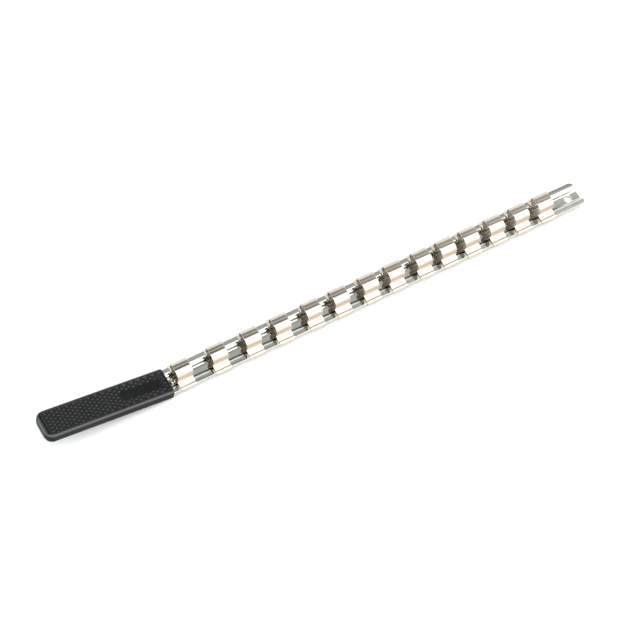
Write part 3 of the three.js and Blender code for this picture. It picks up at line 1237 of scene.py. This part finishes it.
@dataclass
class KnurledHandle:
    """The black moulding over the tang: satin sides, and a diamond knurl on top round a bare panel."""

    length: float = 97.6
    mouth_width: float = 23.2
    free_width: float = 24.0
    thickness: float = 7.8
    top_height: float = 2.3
    top_edge: float = 2.4
    bottom_edge: float = 2.5
    free_corner: float = 6.5
    mouth_corner: float = 1.8
    mouth_edge: float = 0.8
    nose: float = 4.2
    nose_drop: float = 3.2
    from_bend: float = 0.5
    tang_gap: float = 0.3
    knurl_long: float = 5.5
    knurl_wide: float = 3.0
    knurl_depth: float = 0.42
    groove_power: float = 1.2
    border_depth: float = 0.14
    border_slope: float = 0.18
    knurl_from_nose: float = 3.9
    knurl_from_mouth: float = 0.9
    knurl_mouth_half: float = 8.7
    knurl_free_half: float = 9.4
    panel_start: float = 5.6
    panel_length: float = 31.0
    panel_width: float = 9.0
    panel_corner: float = 1.6
    panel_depth: float = 0.3
    panel_slope: float = 0.35
    border_reach: float = 0.2
    nose_reach: float = 1.2
    end_share: float = 0.8
    pocket_overrun: float = 1.0
    pocket_arc_step: float = math.radians(6.0)
    pocket_run_step: float = 4.0
    sharp_angle: float = math.radians(50.0)
    mouth_steps: int = 6
    knurl_steps: int = 249
    border_steps: int = 3
    shoulder_steps: int = 8
    nose_steps: int = 8
    steps: LoopSteps = LoopSteps(corner=8, side=4, top=84, bottom=26)

    def distances(self) -> np.ndarray:
        """Works out the distances of the rings from the mouth.

        They lie close together over the knurl, within border_reach of its far end, round the mouth's edge
        and over the last nose_reach of the handle.

        Returns:
            The distances.
        """
        knurl_end = self.length - self.knurl_from_nose
        return np.concatenate([
            self.mouth_edge * (1 - np.cos(quarter(self.mouth_steps))),
            in_runs(
                [self.mouth_edge, knurl_end - self.border_reach, knurl_end + self.border_reach,
                 self.length - self.nose_reach],
                [self.knurl_steps, self.border_steps, self.shoulder_steps])[1:],
            self.length - self.nose_reach * (1 - np.sin(quarter(self.nose_steps)[1:])),
        ])

    def knurl(self, distance: np.ndarray, across: np.ndarray) -> np.ndarray:
        """Depth of the knurl below the top.

        Two sets of slanting V-grooves cross. A set's depth falls from full on its groove lines, where the
        sum or difference of the shares of a diamond along and across is a whole number, to nothing halfway
        between them, and the deeper set counts. The rest is flat: a sunk border, and the oblong panel.

        Args:
            distance: Distance from the mouth.
            across: Distance across the handle.

        Returns:
            The depth at each place.
        """
        along_share = (distance - self.length + self.knurl_from_nose) / self.knurl_long
        across_share = across / self.knurl_wide + 0.5
        grooves = [
            2 * np.abs((along_share + sign * across_share) % 1 - 0.5) for sign in (1, -1)]
        depth = self.knurl_depth * np.maximum(*grooves) ** self.groove_power
        widened = (self.knurl_free_half - self.knurl_mouth_half) * distance / self.length
        half = self.knurl_mouth_half + widened
        inside = np.minimum(
            half - np.abs(across),
            np.minimum(distance - self.knurl_from_mouth, self.length - self.knurl_from_nose - distance))
        knurled = np.clip(inside / self.border_slope, 0, 1)
        depth = self.border_depth + (depth - self.border_depth) * knurled
        flat = self.panel_share(distance, across)
        return depth * (1 - flat) + self.panel_depth * flat

    def panel_share(self, distance: np.ndarray, across: np.ndarray) -> np.ndarray:
        """How far the oblong panel has taken over from the knurl.

        The distance past a rounded rectangle is the distance past a smaller sharp one less the corner's
        radius. The share rises smoothly from nothing on the rectangle to one a slope's width inside it.

        Args:
            distance: Distance from the mouth.
            across: Distance across the handle.

        Returns:
            One on the panel and nothing on the knurl.
        """
        centre = self.panel_start + self.panel_length / 2
        past_x = np.abs(distance - centre) - self.panel_length / 2 + self.panel_corner
        past_y = np.abs(across) - self.panel_width / 2 + self.panel_corner
        outside = (
            np.hypot(np.maximum(past_x, 0), np.maximum(past_y, 0))
            + np.minimum(np.maximum(past_x, past_y), 0) - self.panel_corner)
        share = np.clip(-outside / self.panel_slope, 0, 1)
        return share * share * (3 - 2 * share)

    def rings(self) -> np.ndarray:
        """Works out rings round the handle in its own tilted frame, with the knurl cut into its top.

        Returns:
            An array of ring by point by axis. A smaller last ring lies inside the free end's flat face.
        """
        distance = self.distances()
        to_end = self.length - distance
        width = self.mouth_width + (self.free_width - self.mouth_width) * (distance / self.length)
        half_width = (
            width / 2 - self.free_corner * rounding(to_end, self.free_corner)
            - self.mouth_corner * rounding(distance, self.mouth_corner))
        mouth = self.mouth_edge * rounding(distance, self.mouth_edge)
        high = self.top_height - mouth - self.nose_drop * rounding(to_end, self.nose)
        low = (
            self.top_height - self.thickness + mouth + self.bottom_edge * rounding(to_end, self.bottom_edge))
        half_height = (high - low) / 2
        loops = rounded_loops(
            half_width, low, high, np.minimum(self.bottom_edge, half_height),
            np.minimum(self.top_edge, half_height), self.steps)
        first = 2 * self.steps.corner + self.steps.side
        top = slice(first, first + self.steps.top + 1)
        loops[:, top, 1] -= self.knurl(distance[:, None], loops[:, top, 0])
        x = np.repeat(-self.from_bend - distance[:, None], loops.shape[1], axis=1)
        rings = np.concatenate([x[..., None], loops], axis=-1)
        middle = rings[-1:].mean(axis=1, keepdims=True)
        return np.concatenate([rings, middle + (rings[-1:] - middle) * self.end_share])

    def tilt(self, points: np.ndarray, pitch: float) -> np.ndarray:
        """Turns points about the bend by the handle's pitch."""
        x, z = turned(points[..., 0], points[..., 2], -pitch)
        return np.stack([x, points[..., 1], z], axis=-1)

    def pocket(self, rail: RolledRail) -> np.ndarray:
        """Works out the tang's pocket: the rail's section, grown by the gap all round.

        Args:
            rail: The rail.

        Returns:
            A ring before the mouth and one past the tang's end, as an array of ring by point by axis.
        """
        half = np.concatenate([rail.fold_line(), [[rail.width / 2 + self.tang_gap, -rail.sheet / 2]]])
        corners, radii = mirrored(half, [*rail.fold_radii(), 0.0])
        line = bent_line(corners, radii, self.pocket_arc_step, self.pocket_run_step)
        offset = line.normals * (rail.sheet / 2 + self.tang_gap)
        outline = np.concatenate([line.points - offset, (line.points + offset)[::-1]])
        ends = np.array([self.pocket_overrun, -rail.tang - self.tang_gap])
        x = np.repeat(ends[:, None], len(outline), axis=1)
        return np.concatenate([x[..., None], np.repeat(outline[None], 2, axis=0)], axis=-1)

    def build(self, rail: RolledRail, place: Place, material: Material) -> Object:
        """Builds the handle and cuts the tang's pocket into its mouth.

        Args:
            rail: The rail, whose tang it holds.
            place: The bend's place.
            material: Its finish.

        Returns:
            The handle.
        """
        handle, pocket = (
            make_piece(name, [tube(place.move(self.tilt(rings, rail.pitch)))], material)
            for name, rings in (("knurled_handle", self.rings()), ("pocket", self.pocket(rail))))
        cut_away(handle, pocket)
        finish_shading(handle.data, material, self.sharp_angle)
        return handle


# Studio


@dataclass(frozen=True)
class Studio:
    """A pale floor, long soft lights that run along the rail, and the camera. Lengths are in metres.

    The sky is one band of light after another, by the angle round the rail from the horizon behind it over
    the top to the horizon in front.

    Attributes:
        backdrop: Brightness that the camera sees past the floor.
        strength: Greatest brightness of the sky.
        lens: The camera's focal length, in millimetres as its sensor's width is.
        lean: The least and greatest lean towards the free end between which a band's two levels mix.
        sky: For each stop, an angle in degrees, then the brightness for directions that lean little towards
            the free end and for those that lean far.
        tint: Colour of the bands below the angle tint_below.
        end_lean: The lean towards the handle's end at which the end light starts and is full.
    """

    floor_size: float = 8.0
    floor_drop: float = 0.0002
    floor_colour: str = "#dddbd9"
    backdrop: float = 0.97
    strength: float = 3.0
    eye: tuple[float, float, float] = (-0.42296, -0.7606, 1.30951)
    target: tuple[float, float, float] = (-0.00376, -0.0065, 0.00521)
    lens: float = 123.69
    sensor: float = 36.0
    clips: tuple[float, float] = (0.05, 50.0)
    lean: tuple[float, float] = (0.2, 0.38)
    sky: tuple[tuple[float, float, float], ...] = (
        (-180.0, 1.4, 1.4), (-4.0, 0.95, 0.95), (14.0, 1.1, 1.1), (32.0, 1.3, 1.33), (47.0, 1.12, 1.17),
        (50.5, 0.62, 0.95), (52.5, 0.12, 0.62), (54.0, 0.14, 0.5), (57.0, 0.6, 0.42), (59.0, 0.68, 0.62),
        (61.5, 0.5, 0.85), (64.0, 0.13, 0.85), (66.0, 0.1, 0.5), (68.5, 0.7, 0.36), (72.0, 1.5, 0.6),
        (77.0, 2.2, 1.9), (84.0, 2.6, 2.6), (140.0, 2.6, 2.6), (165.0, 2.4, 2.4), (180.0, 1.9, 1.9))
    tint: tuple[float, float, float] = (0.99, 1.0, 1.03)
    tint_below: float = 55.0
    end_lean: tuple[float, float] = (-0.5, -0.75)
    end_level: float = 3.0
    end_tint: tuple[float, float, float] = (0.84, 1.0, 0.97)

    def light(self) -> None:
        """Makes the world: bands of soft light, with a plain pale background for the camera alone."""
        world = bpy.data.worlds.new("studio")
        bpy.context.scene.world = world
        world.use_nodes = True
        tree = world.node_tree
        tree.nodes.clear()
        axes = by_axis(tree, add_node(tree, "ShaderNodeTexCoord").outputs["Generated"])
        angle = number(tree, "ARCTAN2", axes["Z"], axes["Y"])
        turn = mapped(tree, angle, (-math.pi, math.pi))
        upright, leaning = (colour_ramp(tree, turn, self.bands(column)) for column in (1, 2))
        sky = mixed_colour(tree, mapped(tree, axes["X"], self.lean), upright, leaning)
        end_colour = tuple(self.end_level * part / self.strength for part in self.end_tint)
        sky = mixed_colour(tree, mapped(tree, axes["X"], self.end_lean), sky, (*end_colour, 1.0))
        lit = add_node(tree, "ShaderNodeBackground", {"Color": sky, "Strength": self.strength})
        plain = add_node(tree, "ShaderNodeBackground", {"Color": WHITE, "Strength": self.backdrop})
        ray = add_node(tree, "ShaderNodeLightPath")
        both = add_node(tree, "ShaderNodeMixShader", {
            0: ray.outputs["Is Camera Ray"], 1: lit.outputs[0], 2: plain.outputs[0]})
        add_node(tree, "ShaderNodeOutputWorld", {"Surface": both.outputs[0]})

    def bands(self, column: int) -> list[tuple[float, list[float]]]:
        """Stops of the sky's colour ramp.

        Args:
            column: Which of a stop's two levels counts.

        Returns:
            Each stop's place, as a share of the whole turn, and its colour, as a share of the strength.
        """
        stops = []
        for row in self.sky:
            level = row[column] / self.strength
            tint = self.tint if row[0] < self.tint_below else WHITE[:3]
            stops.append(((row[0] + HALF_TURN) / (2 * HALF_TURN), [level * part for part in tint]))
        return stops

    def lay_floor(self) -> None:
        """Lays the plain pale floor just under the lowest point."""
        half = self.floor_size / 2
        mesh = bpy.data.meshes.new("floor")
        corners = [(-half, -half), (half, -half), (half, half), (-half, half)]
        mesh.from_pydata([(x, y, -self.floor_drop) for x, y in corners], [], [(0, 1, 2, 3)])
        floor = bpy.data.objects.new("floor", mesh)
        bpy.context.scene.collection.objects.link(floor)
        material, tree, output = new_material("matt_paper")
        surface_shader(tree, output, {
            "Base Color": linear(self.floor_colour), "Roughness": 1.0, "Specular IOR Level": 0.0})
        mesh.materials.append(material)

    def set_camera(self) -> None:
        """Sets the camera at the photograph's angle, looking straight at its target without a shift."""
        data = bpy.data.cameras.new("camera")
        data.sensor_width = self.sensor
        data.lens = self.lens
        data.clip_start, data.clip_end = self.clips
        camera = bpy.data.objects.new("camera", data)
        bpy.context.scene.collection.objects.link(camera)
        camera.location = self.eye
        aim = Vector(self.target) - Vector(self.eye)
        camera.rotation_euler = aim.to_track_quat("-Z", "Y").to_euler()
        bpy.context.scene.camera = camera

    def build(self) -> None:
        """Sets up the floor, the lights, the camera and the plain tone curve."""
        self.light()
        self.lay_floor()
        self.set_camera()
        bpy.context.scene.view_settings.view_transform = "Standard"
        log.info("studio: %d bands of light", len(self.sky))


# The whole part


@dataclass(frozen=True)
class ClipScatter:
    """How far single clips may stand from perfect.

    Attributes:
        seed: Start of the random draws.
        turn: Greatest turn about the upright, either way, in radians.
        shut: How much narrower than usual an arch may stand, as a negative width in millimetres.
        open: How much wider, in millimetres.
    """

    seed: int = 14
    turn: float = math.radians(0.35)
    shut: float = -0.15
    open: float = 0.1


def zinc_plate() -> PlatedSteel:
    """The rail's finish: rolled steel with a clear zinc plating and two lines of painted shade along its
    channel.
    """
    return PlatedSteel(
        name="rolled_steel_zinc_plated", light="#d0d3ca", dull="#c6c9c0", smooth=0.05, rough=0.12,
        line_size=(16.0, 0.5, 0.5), line_height=0.0004, cloud_size=7.0,
        # Two lines of painted shade along the channel's inner bends, fading out towards the free end.
        shade_lines=(
            PaintedShadeLine(across=-3.35, half=0.42, colour="#413833"),
            PaintedShadeLine(across=4.15, half=0.3, colour="#b0ada4")),
        shade_end=206.0)


def rivet_plate() -> PlatedSteel:
    """The rivet's finish: headed steel with a duller zinc plating."""
    return PlatedSteel(
        name="headed_steel_zinc_plated", light="#d0d2ca", dull="#bdc0b7", smooth=0.06, rough=0.16,
        line_size=(0.9, 0.9, 0.9), line_height=0.003, cloud_size=1.5)


def nickel_plate(clip: SpringClip, place: Place) -> PlatedSteel:
    """The clips' finish: spring steel with a warm nickel plating, painted reflection bands on its cheeks and
    painted light and shade inside its arch.

    Args:
        clip: The clips' sizes.
        place: The bend's place.

    Returns:
        The finish.
    """
    # Painted reflection bands on the cheeks, and painted light and shade on the arch's inner faces.
    arch = ArchPaintedLight(
        middle=place.flange_z + clip.cheek_height + clip.middle_over_cheek,
        foot=place.flange_z + clip.neck_height, inside="#dcd0cb", inside_rough=0.32, cheek_reflection="#b5a698",
        reflection_low=place.flange_z + clip.reflection_low, reflection_high=place.flange_z + clip.reflection_high,
        reflection_across=clip.reflection_across)
    return PlatedSteel(
        name="spring_steel_nickel_plated", light="#d7cdc0", dull="#cfc4b6", smooth=0.04, rough=0.1,
        line_size=(0.5, 9.0, 9.0), line_height=0.0006, cloud_size=5.0, arch=arch)


def handle_moulding(handle: KnurledHandle, rail: RolledRail, place: Place) -> MouldedPolypropylene:
    """The handle's finish, told which way its top faces and how high the knurl's tips stand.

    Args:
        handle: The handle's sizes.
        rail: The rail, whose bend gives the handle its pitch.
        place: The bend's place.

    Returns:
        The finish.
    """
    up = (math.sin(rail.pitch), 0.0, math.cos(rail.pitch))
    top = handle.top_height + place.bend_x * up[0] + place.flange_z * up[2]
    return MouldedPolypropylene(up=up, top=top)


def build_clips(clip: SpringClip, scatter: ClipScatter, rail: RolledRail, place: Place,
                material: Material) -> None:
    """Builds every clip where its CAD node stands, each turned and spread a hair differently.

    Args:
        clip: The clips' sizes.
        scatter: How far single clips may stand from perfect.
        rail: The rail that they grip.
        place: The bend's place.
        material: Their finish.
    """
    chance = np.random.default_rng(scatter.seed)
    nodes = sorted(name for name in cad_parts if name.startswith("clip_"))
    turns = chance.uniform(-scatter.turn, scatter.turn, len(nodes))
    spreads = chance.uniform(scatter.shut, scatter.open, len(nodes))
    for node, turn, spread in zip(nodes, turns, spreads):
        low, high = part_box(node)
        centre = (low.x + high.x) / 2 / MM
        name = node.replace("clip", "spring_clip")
        piece = clip.build(name, centre, float(turn), float(spread), rail, place, material)
        settle(piece, node, node)


def main() -> None:
    logging.basicConfig(level=logging.INFO, format="%(message)s")
    rail, clip, handle = RolledRail(), SpringClip(), KnurledHandle()
    place = Place(
        bend_x=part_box("rail")[1].x / MM - rail.length,
        flange_z=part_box("clip_01")[1].z / MM - clip.arch_height)
    Studio().build()
    body = Body.RAIL_AND_HANDLE.value
    settle(rail.build(place, zinc_plate().build()), body, "rail")
    settle(MouthRivet().build(rail, place, rivet_plate().build()), body, "mouth_rivet")
    moulding = handle_moulding(handle, rail, place).build()
    settle(handle.build(rail, place, moulding), body, "handle_grip")
    build_clips(clip, ClipScatter(), rail, place, nickel_plate(clip, place).build())


if __name__ == "__main__":
    main()
